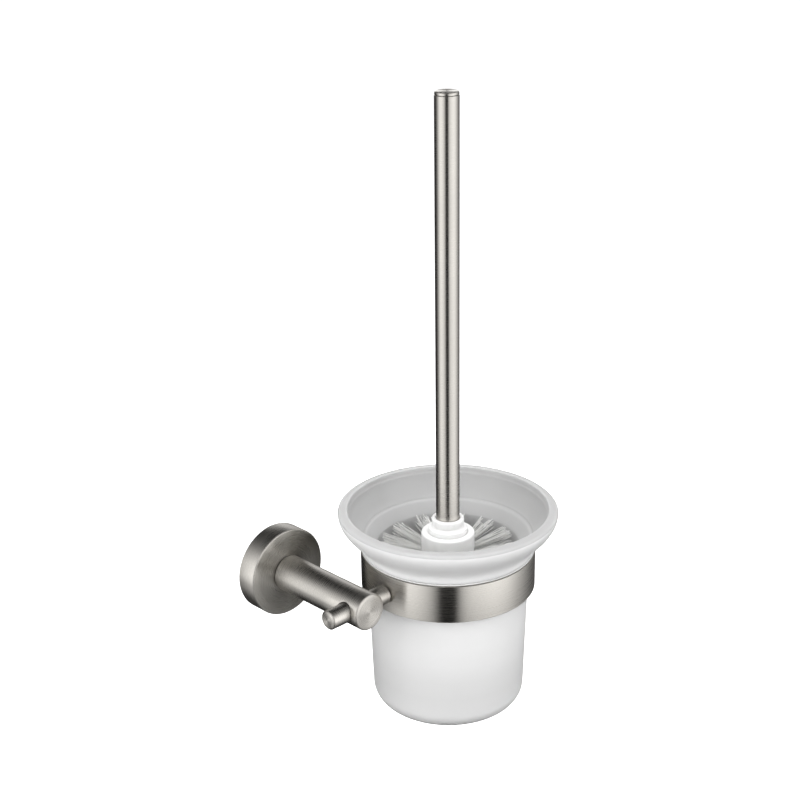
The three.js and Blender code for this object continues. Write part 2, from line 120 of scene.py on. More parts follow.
def chamfer(part, radius, end, way=1):
    # a bar's chamfered end with eased corners, from its side in to its end face;
    # way is 1 where the end face looks up the axis and -1 where it looks down
    edge, ease = part["edge"], part["ease"]
    return [(radius, end - way * (edge + part["easeRun"])), (radius - ease, end - way * (edge - ease)),
            (radius - edge - ease, end - way * ease), (radius - edge - part["easeFlat"], end)]


def turnedObject(name, outline, steps=96, closed=False):
    # turns (radius, height) points in millimetres round Z, the metal on the left of their run;
    # the uv map "turn" runs once round the piece in u, and in metres along the outline in v
    points = list(outline) + ([outline[0]] if closed else [])
    along = [0.0]
    for a, b in zip(points, points[1:]):
        along.append(along[-1] + math.dist(a, b) * mm)
    onAxis = [radius < 1e-6 for radius, _ in points]
    verts, rows = [], []
    for row, (radius, height) in enumerate(points):
        if closed and row == len(points) - 1:
            rows.append(rows[0])
            continue
        first = len(verts)
        count = 1 if onAxis[row] else steps
        for k in range(count):
            angle = 2 * math.pi * k / steps
            verts.append((radius * mm * math.cos(angle), radius * mm * math.sin(angle), height * mm))
        rows.append([first + (0 if onAxis[row] else k) for k in range(steps)])
    faces, uvs = [], []
    for row in range(len(points) - 1):
        for k in range(steps):
            j = (k + 1) % steps
            corners = [(rows[row][k], k, row), (rows[row][j], k + 1, row),
                       (rows[row + 1][j], k + 1, row + 1), (rows[row + 1][k], k, row + 1)]
            if onAxis[row]:
                corners.pop(1)
            elif onAxis[row + 1]:
                corners.pop(2)
            faces.append([c[0] for c in corners])
            uvs += [(c[1] / steps, along[c[2]]) for c in corners]
    mesh = bpy.data.meshes.new(name)
    mesh.from_pydata(verts, [], faces)
    layer = mesh.uv_layers.new(name="turn")
    for loop, uv in zip(layer.data, uvs):
        loop.uv = uv
    mesh.update()
    made = bpy.data.objects.new(name, mesh)
    scene.collection.objects.link(made)
    return made


def makeDrill(radius, low, high, steps):
    return turnedObject("drill", [(0, low), (radius, low), (radius, high), (0, high)], steps=steps)


def cutAway(target, cutter, place=Matrix.Identity(4)):
    # drills the cutter's shape out of the target
    cutter.data.transform(place)
    drill = target.modifiers.new("drill", "BOOLEAN")
    drill.operation = "DIFFERENCE"
    drill.solver = "EXACT"
    drill.object = cutter
    bakeModifiers(target)
    bpy.data.objects.remove(cutter)


def bakeModifiers(target):
    # the evaluated shape becomes the piece's plain mesh
    graph = bpy.context.evaluated_depsgraph_get()
    mesh = bpy.data.meshes.new_from_object(target.evaluated_get(graph))
    target.modifiers.clear()
    target.data = mesh


def startTree(name, inputs):
    # a geometry node tree with one geometry out and the named inputs
    tree = bpy.data.node_groups.new(name, "GeometryNodeTree")
    tree.interface.new_socket("Geometry", in_out="OUTPUT", socket_type="NodeSocketGeometry")
    for key, kind in inputs.items():
        tree.interface.new_socket(key, in_out="INPUT", socket_type="NodeSocket" + kind)
    return tree, tree.nodes.new("NodeGroupInput").outputs


def endTree(tree, geometry, material):
    # makes the copies real, gives them their material and sends them out
    solid = addNode(tree, "GeometryNodeRealizeInstances", {"Geometry": geometry})
    dressed = addNode(tree, "GeometryNodeSetMaterial", {"Geometry": solid, "Material": material})
    addNode(tree, "NodeGroupOutput", {"Geometry": dressed})


def growPiece(tree, name, values):
    # runs a node tree on an empty piece and keeps the result as a plain mesh
    piece = bpy.data.objects.new(name, bpy.data.meshes.new(name))
    scene.collection.objects.link(piece)
    grow = piece.modifiers.new("grow", "NODES")
    grow.node_group = tree
    names = {s.name: s.identifier for s in tree.interface.items_tree if s.in_out == "INPUT"}
    for key, value in values.items():
        grow[names[key]] = value
    bakeModifiers(piece)
    return piece


def softenEdges(target, width, angle=35):
    # breaks sharp edges as a maker does before polishing
    bevel = target.modifiers.new("edge", "BEVEL")
    bevel.width = width * mm
    bevel.segments = 2
    bevel.limit_method = "ANGLE"
    bevel.angle_limit = math.radians(angle)
    bakeModifiers(target)


def finishPiece(piece, material, body, nodes, place=None, sharpAngle=32):
    # shades, places and hands the piece to its CAD body
    if place is not None:
        piece.data.transform(place)
    piece.data.materials.clear()
    piece.data.materials.append(material)
    for face in piece.data.polygons:
        face.material_index = 0
        face.use_smooth = True
    piece.data.set_sharp_from_angle(angle=math.radians(sharpAngle))
    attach(piece, body)
    if nodes:
        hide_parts(*nodes)
    return piece


def span(node, axis):
    # lowest and highest place of a node along one axis, in millimetres
    low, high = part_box(node)
    return low[axis] / mm, high[axis] / mm


def halfWidth(node):
    # radius of an upright round node, in millimetres
    left, right = span(node, 0)
    return (right - left) / 2


cupLow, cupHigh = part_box("glass_cup")
ringCentre = Vector(((cupLow.x + cupHigh.x) / 2, (cupLow.y + cupHigh.y) / 2, 0))
ringPlace = Matrix.Translation(ringCentre)
armPlace = Matrix.Rotation(math.pi / 2, 4, "X")  # local Z runs out from the wall
rodPlace = Matrix.Translation((0, ringCentre.y, 0)) @ Matrix.Rotation(math.pi / 2, 4, "Y")
acrossArm = Matrix.Rotation(math.pi / 2, 4, "Y")
upArm = Matrix.Rotation(math.pi / 2, 4, "X")  # from below, once the piece lies in armPlace


cameraSet = {
    "place": (-0.46139, -0.57249, 0.37524),
    "turn": -44.08,  # degrees, from looking along +Y towards +X
    "tip": -21.21,  # degrees below level
    "roll": -0.82,
    "lens": 70.78,
    "sensor": 36,
    "near": 0.01,
    "far": 20,
}

lightAim = Vector((0.045, -0.05, 0.03))  # a point in the ring

lightSet = {
    # name: (degrees round the object from -Y, height, distance, width, tall, watts)
    "frontPanel": (-44, 0.12, 1.3, 3.4, 0.8, 19.5),
    "leftPanel": (-109, 0.4, 1.3, 1.2, 0.9, 10.5),
    "rightPanel": (21, 0.4, 1.3, 1.2, 0.9, 9.5),
    "topPanel": (-44, 1.2, 0.05, 2.4, 2.4, 36.0),
}


def makeCamera():
    data = bpy.data.cameras.new("camera")
    data.lens = cameraSet["lens"]
    data.sensor_width = cameraSet["sensor"]
    data.clip_start = cameraSet["near"]
    data.clip_end = cameraSet["far"]
    camera = bpy.data.objects.new("camera", data)
    camera.location = cameraSet["place"]
    aim = (Matrix.Rotation(math.radians(cameraSet["turn"]), 3, "Z")
           @ Matrix.Rotation(math.radians(90 + cameraSet["tip"]), 3, "X")
           @ Matrix.Rotation(math.radians(cameraSet["roll"]), 3, "Z"))
    camera.rotation_euler = aim.to_euler()
    scene.collection.objects.link(camera)
    scene.camera = camera


def makeLights():
    for name, (turn, height, distance, width, tall, power) in lightSet.items():
        data = bpy.data.lights.new(name, "AREA")
        data.shape = "RECTANGLE"
        data.size = width
        data.size_y = tall
        data.energy = power
        light = bpy.data.objects.new(name, data)
        angle = math.radians(turn)
        light.location = lightAim + Vector((math.sin(angle), -math.cos(angle), 0)) * distance
        light.location.z = height
        light.rotation_mode = "QUATERNION"
        light.rotation_quaternion = (lightAim - light.location).to_track_quat("-Z", "Y")
        light.visible_glossy = False  # the metal shows only the studio wall
        scene.collection.objects.link(light)


floorSet = {"half": 6, "height": -0.45, "colour": "#F4F4F2", "glow": "#FFFFFF"}


def makeFloor():
    # a pale sheet well below the holder, large enough to fill the view; it takes no part in the lighting
    half = floorSet["half"]
    corners = [(-half, -half, 0), (half, -half, 0), (half, half, 0), (-half, half, 0)]
    mesh = bpy.data.meshes.new("floor")
    mesh.from_pydata(corners, [], [(0, 1, 2, 3)])
    floor = bpy.data.objects.new("floor", mesh)
    floor.location.z = floorSet["height"]
    scene.collection.objects.link(floor)
    material, tree = newMaterial("paperFloor")
    shader = addNode(tree, "ShaderNodeBsdfPrincipled", {
        "Base Color": linearColour(floorSet["colour"]), "Roughness": 0.9,
        "Emission Color": linearColour(floorSet["glow"]), "Emission Strength": 1.0})
    addNode(tree, "ShaderNodeOutputMaterial", {"Surface": shader})
    mesh.materials.append(material)
    floor.visible_glossy = floor.visible_diffuse = False
    floor.visible_transmission = floor.visible_shadow = False


studioSet = {
    # degrees to the right of the camera and the wall's grey there (two hex digits), in three heights
    "low": [(-180, "1D"), (-140, "16"), (-128, "12"), (-118, "22"), (-108, "45"), (-99, "7C"),
            (-92, "A4"), (-84, "C8"), (-74, "EF"), (-64, "FF"), (-50, "FA"), (-40, "EF"), (-32, "DD"),
            (-25, "C5"), (-19, "9B"), (-15, "6C"), (-11, "07"), (7.5, "07"), (11, "7C"), (15, "B5"),
            (21, "D7"), (28, "E7"), (38, "F1"), (48, "F8"), (58, "FC"), (70, "F6"), (82, "E7"),
            (94, "C5"), (106, "A6"), (118, "86"), (132, "5D"), (180, "1D")],
    "middle": [(-180, "E7"), (-168, "D4"), (-156, "61"), (-146, "3F"), (-128, "59"), (-112, "86"),
               (-96, "AD"), (-84, "C8"), (-70, "ED"), (-46, "F3"), (-28, "CB"), (-15, "7C"),
               (-11, "0D"), (7.5, "0D"), (14, "A6"), (30, "E1"), (58, "FF"), (76, "F3"), (96, "D4"),
               (112, "AA"), (128, "7C"), (146, "3F"), (156, "61"), (168, "D4"), (180, "E7")],
    "top": [(-180, "27"), (-150, "19"), (-128, "59"), (-110, "9E"), (-90, "C2"), (-60, "ED"),
            (-30, "F3"), (-12, "CB"), (12, "CB"), (30, "F3"), (60, "FF"), (90, "F9"), (110, "CB"),
            (128, "86"), (150, "27"), (180, "27")],
    "middleFrom": (-8, 12),  # degrees above level, where low turns into middle
    "topFrom": (18, 34),
    # degrees above level, and how much of the wall's brightness shows there
    "up": [(-90, "45"), (-60, "66"), (-48, "8E"), (-38, "AE"), (-28, "BC"), (-16, "EF"), (-6, "FF"),
           (12, "FF"), (22, "EC"), (32, "CE"), (42, "A6"), (52, "76"), (65, "4B"), (90, "38")],
    "strength": 2.02,
    "behind": "#FFFFFF",
}


def fillRamp(node, stops):
    # puts the (place, grey) stops on a colour ramp
    ramp = node.color_ramp
    while len(ramp.elements) < len(stops):
        ramp.elements.new(0.5)
    for k, (place, _) in enumerate(stops):
        ramp.elements[k].position = place
    for k, (_, grey) in enumerate(stops):
        ramp.elements[k].color = linearColour("#" + grey * 3)


def makeWorld():
    # a round studio wall: bright cloth left and right of the camera, a dark gap at the camera, dim behind
    world = bpy.data.worlds.new("studio")
    scene.world = world
    world.use_nodes = True
    world.cycles_visibility.diffuse = False  # the wall only shows in the metal
    tree = world.node_tree
    tree.nodes.clear()
    # turn the directions so that the camera looks from the middle of the ramps
    coords = addNode(tree, "ShaderNodeTexCoord")
    quarter = math.radians(90 - cameraSet["turn"])
    turned = addNode(tree, "ShaderNodeVectorRotate",
                     {"Vector": coords.outputs["Generated"], "Angle": quarter}, rotation_type="Z_AXIS")
    parts = addNode(tree, "ShaderNodeSeparateXYZ", {"Vector": turned})
    azimuth = addNode(tree, "ShaderNodeMath",
                      {0: parts.outputs["Y"], 1: parts.outputs["X"]}, operation="ARCTAN2")
    share = addNode(tree, "ShaderNodeMath",
                    {0: azimuth, 1: 0.5 / math.pi, 2: 0.5}, operation="MULTIPLY_ADD")
    height = addNode(tree, "ShaderNodeMath", {0: parts.outputs["Z"]}, operation="ARCSINE")
    around = None
    for band in ("low", "middle", "top"):
        ramp = addNode(tree, "ShaderNodeValToRGB", {"Fac": share})
        fillRamp(ramp, [(0.5 + degrees / 360, grey) for degrees, grey in studioSet[band]])
        if around is None:
            around = ramp.outputs["Color"]
            continue
        start, end = (math.radians(degrees) for degrees in studioSet[band + "From"])
        above = addNode(tree, "ShaderNodeMapRange",
                        {"Value": height, "From Min": start, "From Max": end},
                        interpolation_type="SMOOTHSTEP")
        around = addNode(tree, "ShaderNodeMix",
                         {0: above, 6: around, 7: ramp.outputs["Color"]}, data_type="RGBA").outputs[2]
    level = addNode(tree, "ShaderNodeMath", {0: height, 1: 1 / math.pi, 2: 0.5}, operation="MULTIPLY_ADD")
    upward = addNode(tree, "ShaderNodeValToRGB", {"Fac": level})
    fillRamp(upward, [(0.5 + degrees / 180, grey) for degrees, grey in studioSet["up"]])
    both = addNode(tree, "ShaderNodeMix",
                   {0: 1.0, 6: around, 7: upward.outputs["Color"]},
                   data_type="RGBA", blend_type="MULTIPLY")
    lit = addNode(tree, "ShaderNodeBackground",
                  {"Color": both.outputs[2], "Strength": studioSet["strength"]})
    plain = addNode(tree, "ShaderNodeBackground", {"Color": linearColour(studioSet["behind"])})
    path = addNode(tree, "ShaderNodeLightPath")
    mixed = addNode(tree, "ShaderNodeMixShader", {0: path.outputs["Is Camera Ray"], 1: lit, 2: plain})
    addNode(tree, "ShaderNodeOutputWorld", {"Surface": mixed})


makeCamera()
makeLights()
makeFloor()
makeWorld()
scene.view_settings.view_transform = "Standard"
print("stage: camera, lights and floor")


steelSet = {
    "colour": "#D6D2CC",
    "dark": "#C4C1BB",
    "flatFaceShade": "#A5A29C",  # painted shade: the wide flat face of the rose is given a darker colour than its round side
    "roughness": 0.25,
    "smoother": 0.03,  # how far the roughness goes below and above that
    "rougher": 0.05,
    "hazeScale": 35.0,  # hand-sized cloudiness, in waves a metre
    "hazeShare": 0.06,
    "grainPitch": 0.30,  # between brush lines, wider than the real 0.05 so that they show
    "grainDepth": 0.0009,
}


def makeSatinSteel():
    # stainless steel turned and brushed on a lathe: fine lines round each piece, a warm nickel tone,
    # and reflections drawn out across the lines
    steel = steelSet
    material, tree = newMaterial("satinSteel")
    uv = addNode(tree, "ShaderNodeUVMap", uv_map="turn")
    uvParts = addNode(tree, "ShaderNodeSeparateXYZ", {"Vector": uv.outputs["UV"]})
    angle = addNode(tree, "ShaderNodeMath",
                    {0: uvParts.outputs["X"], 1: 2 * math.pi}, operation="MULTIPLY")
    sine = addNode(tree, "ShaderNodeMath", {0: angle}, operation="SINE")
    cosine = addNode(tree, "ShaderNodeMath", {0: angle}, operation="COSINE")
    lines = addNode(tree, "ShaderNodeMath",
                    {0: uvParts.outputs["Y"], 1: steel["grainPitch"] * mm}, operation="DIVIDE")
    spot = addNode(tree, "ShaderNodeCombineXYZ", {"X": sine, "Y": cosine, "Z": lines})
    grain = addNode(tree, "ShaderNodeTexNoise",
                    {"Vector": spot, "Scale": 1.0, "Detail": 3.0, "Roughness": 0.6})
    place = addNode(tree, "ShaderNodeTexCoord")
    haze = addNode(tree, "ShaderNodeTexNoise",
                   {"Vector": place.outputs["Object"], "Scale": steel["hazeScale"], "Detail": 2.0})
    # painted shade: where this attribute is 1, the steel takes the darker flat-face colour
    faceShade = addNode(tree, "ShaderNodeAttribute", attribute_name="faceShade")
    lined = addNode(tree, "ShaderNodeMix",
                    {0: grain.outputs["Fac"], 6: linearColour(steel["dark"]),
                     7: linearColour(steel["colour"])}, data_type="RGBA")
    toned = addNode(tree, "ShaderNodeMix",
                    {0: faceShade.outputs["Fac"], 6: lined.outputs[2], 7: linearColour(steel["flatFaceShade"])},
                    data_type="RGBA")
    rough = addNode(tree, "ShaderNodeMapRange",
                    {"Value": grain.outputs["Fac"], "From Min": 0.3, "From Max": 0.7,
                     "To Min": steel["roughness"] - steel["smoother"],
                     "To Max": steel["roughness"] + steel["rougher"]})
    hazed = addNode(tree, "ShaderNodeMath",
                    {0: haze.outputs["Fac"], 1: steel["hazeShare"], 2: rough}, operation="MULTIPLY_ADD")
    bump = addNode(tree, "ShaderNodeBump",
                   {"Height": grain.outputs["Fac"], "Distance": steel["grainDepth"] * mm, "Strength": 1.0})
    tangent = addNode(tree, "ShaderNodeTangent", direction_type="UV_MAP", uv_map="turn")
    shader = addNode(tree, "ShaderNodeBsdfPrincipled", {
        "Base Color": toned.outputs[2], "Metallic": 1.0, "Roughness": hazed, "Anisotropic": 1.0,
        "Anisotropic Rotation": 0.25, "Tangent": tangent, "Normal": bump})
    addNode(tree, "ShaderNodeOutputMaterial", {"Surface": shader})
    return material


bareSet = {"mottleScale": 420.0, "smoother": 0.08, "rougher": 0.1, "depth": 0.01}


def makeBareSteel(name, light, dark, roughness):
    # machined or plated steel of hidden fasteners: even, slightly mottled, little shine
    material, tree = newMaterial(name)
    place = addNode(tree, "ShaderNodeTexCoord")
    mottle = addNode(tree, "ShaderNodeTexNoise",
                     {"Vector": place.outputs["Object"], "Scale": bareSet["mottleScale"], "Detail": 4.0})
    colour = addNode(tree, "ShaderNodeMix",
                     {0: mottle.outputs["Fac"], 6: linearColour(dark), 7: linearColour(light)},
                     data_type="RGBA")
    rough = addNode(tree, "ShaderNodeMapRange",
                    {"Value": mottle.outputs["Fac"], "To Min": roughness - bareSet["smoother"],
                     "To Max": roughness + bareSet["rougher"]})
    bump = addNode(tree, "ShaderNodeBump",
                   {"Height": mottle.outputs["Fac"], "Distance": bareSet["depth"] * mm})
    shader = addNode(tree, "ShaderNodeBsdfPrincipled", {
        "Base Color": colour.outputs[2], "Metallic": 1.0, "Roughness": rough, "Normal": bump})
    addNode(tree, "ShaderNodeOutputMaterial", {"Surface": shader})
    return material


glassSet = {
    # white where more glass or the brush lies behind, grey where only air does; the grey is also painted
    # shade on the rim, inside the flare and throat, and by height up the outside
    "backed": ("#F1F1F1", "#F9F9F9"),
    "free": ("#B0B0B0", "#B9B9B9"),
    "etchScale": 2400.0,  # grains a metre
    "etchDepth": 0.012,
    "cloudScale": 28.0,
    "roughness": (0.5, 0.68),
    "scatter": 4,
}


def makeFrostedGlass():
    # pressed soda-lime glass, etched all over in acid: white, milky and without a clear reflection;
    # its attribute says how much light goes on through the wall instead of coming back, and also paints
    # shade: the higher it is, the greyer the glass
    material, tree = newMaterial("etchedGlass")
    place = addNode(tree, "ShaderNodeTexCoord")
    etch = addNode(tree, "ShaderNodeTexNoise",
                   {"Vector": place.outputs["Object"], "Scale": glassSet["etchScale"], "Detail": 3.0,
                    "Roughness": 0.6})
    cloud = addNode(tree, "ShaderNodeTexNoise",
                    {"Vector": place.outputs["Object"], "Scale": glassSet["cloudScale"], "Detail": 2.0})
    passingAndShade = addNode(tree, "ShaderNodeAttribute", attribute_name="passingAndShade")
    tones = {}
    for key in ("backed", "free"):
        dark, light = glassSet[key]
        mix = addNode(tree, "ShaderNodeMix",
                      {0: cloud.outputs["Fac"], 6: linearColour(dark), 7: linearColour(light)},
                      data_type="RGBA")
        tones[key] = mix.outputs[2]
    colour = addNode(tree, "ShaderNodeMix",
                     {0: passingAndShade.outputs["Fac"], 6: tones["backed"], 7: tones["free"]}, data_type="RGBA")
    low, high = glassSet["roughness"]
    rough = addNode(tree, "ShaderNodeMapRange",
                    {"Value": etch.outputs["Fac"], "To Min": low, "To Max": high})
    bump = addNode(tree, "ShaderNodeBump",
                   {"Height": etch.outputs["Fac"], "Distance": glassSet["etchDepth"] * mm})
    shader = addNode(tree, "ShaderNodeBsdfPrincipled", {
        "Base Color": colour.outputs[2], "Roughness": rough, "IOR": 1.5, "Subsurface Weight": 1.0,
        "Subsurface Radius": (1.0, 1.0, 1.0), "Subsurface Scale": glassSet["scatter"] * mm,
        "Normal": bump})
    addNode(tree, "ShaderNodeOutputMaterial", {"Surface": shader})
    return material


plasticSet = {"smoother": 0.06, "rougher": 0.08}


def makePlastic(name, light, dark, roughness, scatter, grain, depth):
    # a moulded or drawn plastic: satin, with a faint grain in colour, gloss and surface
    material, tree = newMaterial(name)
    place = addNode(tree, "ShaderNodeTexCoord")
    skin = addNode(tree, "ShaderNodeTexNoise",
                   {"Vector": place.outputs["Object"], "Scale": 1 / (grain * mm), "Detail": 3.0})
    colour = addNode(tree, "ShaderNodeMix",
                     {0: skin.outputs["Fac"], 6: linearColour(dark), 7: linearColour(light)},
                     data_type="RGBA")
    rough = addNode(tree, "ShaderNodeMapRange",
                    {"Value": skin.outputs["Fac"], "To Min": roughness - plasticSet["smoother"],
                     "To Max": roughness + plasticSet["rougher"]})
    bump = addNode(tree, "ShaderNodeBump", {"Height": skin.outputs["Fac"], "Distance": depth * mm})
    shader = addNode(tree, "ShaderNodeBsdfPrincipled", {
        "Base Color": colour.outputs[2], "Roughness": rough, "IOR": 1.5, "Subsurface Weight": 0.6,
        "Subsurface Radius": (1.0, 1.0, 1.0), "Subsurface Scale": scatter * mm, "Normal": bump})
    addNode(tree, "ShaderNodeOutputMaterial", {"Surface": shader})
    return material


satinSteel = makeSatinSteel()
screwSteel = makeBareSteel("stainlessFastener", "#A9A7A3", "#8B8986", roughness=0.38)
zincPlate = makeBareSteel("zincPlatedSteel", "#B7B9BB", "#96989B", roughness=0.45)
etchedGlass = makeFrostedGlass()
whiteMoulding = makePlastic("polypropyleneMoulding", "#F7F7F6", "#F2F2F1",
                            roughness=0.42, scatter=1.5, grain=0.6, depth=0.01)
nylonFilament = makePlastic("nylonFilament", "#E3E3E1", "#CFCFCC",
                            roughness=0.38, scatter=0.5, grain=1.5, depth=0.01)
clearLiner = makePlastic("softVinylLiner", "#EFEFEE", "#E2E2E0",
                         roughness=0.28, scatter=2.0, grain=0.8, depth=0.008)
print("stage: materials")


roseSet = {
    "wall": 1.6,
    "edge": 0.5,  # turned chamfer on the front edge
    "ease": 0.04,  # its corners are eased by this much
    "easeRun": 0.06,
    "easeFlat": 0.14,
    "backEdge": 0.25,
    "mouthEdge": 0.15,
    "innerFillet": 0.5,
    "faceRings": (18, 14, 11, 9, 7),  # radii that divide the flat face
    "grubHole": 2.3,
    "screwHole": 3.3,
}


def makeRose():
    radius = span("rose", 0)[1]
    depth = -span("rose", 1)[0]
    grubAt = -sum(span("rose_grub_screw", 1)) / 2
    backEdge, mouth, fillet = roseSet["backEdge"], roseSet["mouthEdge"], roseSet["innerFillet"]
    inner, back = radius - roseSet["wall"], depth - roseSet["wall"]
    outline = [(roseSet["screwHole"], back), (inner - fillet, back), (inner, back - fillet),
               (inner, mouth), (inner + mouth, 0), (radius - backEdge, 0)]
    outline += arc(radius - backEdge, backEdge, backEdge, -60, 0, 3)
    outline += chamfer(roseSet, radius, depth)
    outline += [(r, depth) for r in roseSet["faceRings"]] + [(roseSet["screwHole"], depth)]
    rose = turnedObject("rose_cover", outline, steps=128, closed=True)
    drill = makeDrill(roseSet["grubHole"], radius / 2, radius + overcut, 48)
    cutAway(rose, drill, Matrix.Translation((0, 0, grubAt)) @ upArm)
    # painted shade: the flat front face is marked to take the darker steel colour
    faceShade = rose.data.attributes.new("faceShade", "FLOAT", "POINT")
    flatFrom = (depth - roseSet["ease"] / 4) * mm
    for vert, value in zip(rose.data.vertices, faceShade.data):
        value.value = float(vert.co.z > flatFrom)
    return finishPiece(rose, satinSteel, "bracket", ["rose"], armPlace)


armSet = {
    "edge": 0.55,
    "ease": 0.04,
    "easeRun": 0.06,
    "easeFlat": 0.14,
    "backEdge": 0.6,
    "boreGap": 0.5,  # round the cross rod
    "boreEdge": 0.45,  # broken edge where the bore comes out
    "boreOvercut": 3,
    "grubHole": 2.3,
    "screwHole": 3.3,
    "screwDepth": 16,
}


def makeArm():
    radius = span("arm", 0)[1]
    start, end = -span("arm", 1)[1], -span("arm", 1)[0]
    backEdge, hole = armSet["backEdge"], armSet["screwHole"]
    outline = [(0, start), (radius - backEdge, start), (radius, start + backEdge)]
    outline += divide((radius, start), (radius, end), 5) + chamfer(armSet, radius, end)
    outline += divide((radius, end), (0, end), 4) + [(0, end)]
    arm = turnedObject("arm_bar", outline, steps=128)
    bore = span("cross_rod", 2)[1] + armSet["boreGap"]
    past = radius + armSet["boreOvercut"]
    atRod = Matrix.Translation((0, 0, -ringCentre.y))
    drills = [
        (bore, -past, past, atRod @ acrossArm),
        (armSet["grubHole"], 0, past, atRod @ upArm),
        (hole, start - overcut, start + armSet["screwDepth"], Matrix.Identity(4)),
    ]
    for size, low, high, place in drills:
        cutAway(arm, makeDrill(size, low, high, 64), place)
    softenEdges(arm, armSet["boreEdge"], 50)
    return finishPiece(arm, satinSteel, "bracket", ["arm"], armPlace)


rodSet = {
    "edge": 0.8,
    "ease": 0.03,
    "easeRun": 0.06,
    "easeFlat": 0.12,
    "jointEdge": 0.9,  # chamfer where it meets the band
    "screwHole": 2.2,
    "screwDepth": 12,
    "drillPoint": 1.2,
}


def makeCrossRod():
    radius = span("cross_rod", 2)[1]
    start, end = span("cross_rod", 0)
    joint, hole = rodSet["jointEdge"], rodSet["screwHole"]
    holeFloor = end - rodSet["screwDepth"]
    outline = [(0, start), (radius / 2, start)] + chamfer(rodSet, radius, start, -1)[::-1]
    outline += divide((radius, start), (radius, end), 4)
    outline += [(radius, end - joint), (radius - joint, end), (hole, end), (hole, holeFloor),
                (0, holeFloor - rodSet["drillPoint"])]
    rod = turnedObject("cross_rod_bar", outline, steps=96)
    return finishPiece(rod, satinSteel, "bracket", ["cross_rod"], rodPlace)


bandSet = {
    "wall": 1.8,
    "edge": 0.28,
    "sides": 192,
    "screwHole": 2.2,
    "screwHead": 3.6,
}
weldDistance = 0.05 * mm  # less than any edge of the strip, more than the gap where its ends meet


def makeStripTree():
    # a flat strip with rounded edges, bent into a closed ring
    tree, given = startTree("bentStrip", {
        "Radius": "Float", "Wall": "Float", "Low": "Float", "High": "Float", "Edge": "Float",
        "Sides": "Int", "Material": "Material"})
    middle = addNode(tree, "ShaderNodeMath",
                     {0: given["Wall"], 1: -0.5, 2: given["Radius"]}, operation="MULTIPLY_ADD")
    points = addNode(tree, "ShaderNodeMath", {0: given["Sides"], 1: 1.0}, operation="ADD")
    path = addNode(tree, "GeometryNodeCurveArc", {
        "Resolution": points, "Radius": middle, "Start Angle": 0.0, "Sweep Angle": 2 * math.pi})
    share = addNode(tree, "GeometryNodeSplineParameter")
    marked = addNode(tree, "GeometryNodeStoreNamedAttribute",
                     {"Geometry": path, "Name": "round", "Value": share.outputs["Factor"]},
                     data_type="FLOAT", domain="POINT")
    tall = addNode(tree, "ShaderNodeMath", {0: given["High"], 1: given["Low"]}, operation="SUBTRACT")
    section = addNode(tree, "GeometryNodeCurvePrimitiveQuadrilateral",
                      {"Width": given["Wall"], "Height": tall})
    rounded = addNode(tree, "GeometryNodeFilletCurve",
                      {"Curve": section, "Count": 4, "Radius": given["Edge"]}, mode="POLY")
    strip = addNode(tree, "GeometryNodeCurveToMesh", {"Curve": marked, "Profile Curve": rounded})
    topAndFoot = addNode(tree, "ShaderNodeMath", {0: given["High"], 1: given["Low"]}, operation="ADD")
    halfUp = addNode(tree, "ShaderNodeMath", {0: topAndFoot, 1: 0.5}, operation="MULTIPLY")
    lift = addNode(tree, "ShaderNodeCombineXYZ", {"Z": halfUp})
    raised = addNode(tree, "GeometryNodeSetPosition", {"Geometry": strip, "Offset": lift})
    # the uv map "turn": round the ring in u, metres across the strip in v
    place = addNode(tree, "GeometryNodeInputPosition")
    parts = addNode(tree, "ShaderNodeSeparateXYZ", {"Vector": place})
    flat = addNode(tree, "ShaderNodeCombineXYZ", {"X": parts.outputs["X"], "Y": parts.outputs["Y"]})
    radius = addNode(tree, "ShaderNodeVectorMath", {0: flat}, operation="LENGTH")
    across = addNode(tree, "ShaderNodeMath",
                     {0: parts.outputs["Z"], 1: radius.outputs["Value"]}, operation="SUBTRACT")
    stored = addNode(tree, "GeometryNodeInputNamedAttribute", {"Name": "round"}, data_type="FLOAT")
    uv = addNode(tree, "ShaderNodeCombineXYZ", {"X": stored, "Y": across})
    mapped = addNode(tree, "GeometryNodeStoreNamedAttribute",
                     {"Geometry": raised, "Name": "turn", "Value": uv}, data_type="FLOAT2", domain="CORNER")
    closed = addNode(tree, "GeometryNodeMergeByDistance", {"Geometry": mapped, "Distance": weldDistance})
    endTree(tree, closed, given["Material"])
    return tree


def makeBand():
    radius = halfWidth("ring_band")
    low, high = span("ring_band", 2)
    inner = radius - bandSet["wall"]
    band = growPiece(makeStripTree(), "ring_band_strip", {
        "Radius": radius * mm, "Wall": bandSet["wall"] * mm, "Low": low * mm, "High": high * mm,
        "Edge": bandSet["edge"] * mm, "Sides": bandSet["sides"], "Material": satinSteel})
    hole, head = bandSet["screwHole"], bandSet["screwHead"]
    outline = [(0, -radius - overcut), (hole, -radius - overcut), (hole, -inner - (head - hole)),
               (head, -inner), (head, -inner + overcut), (0, -inner + overcut)]
    cutAway(band, turnedObject("drill", outline, steps=48), acrossArm)
    return finishPiece(band, satinSteel, "bracket", ["ring_band"], ringPlace)


linerSet = {"wall": 0.5, "gap": 0.3, "lip": 0.55, "lipRound": 0.2, "footEdge": 0.1, "topEdge": 0.2}


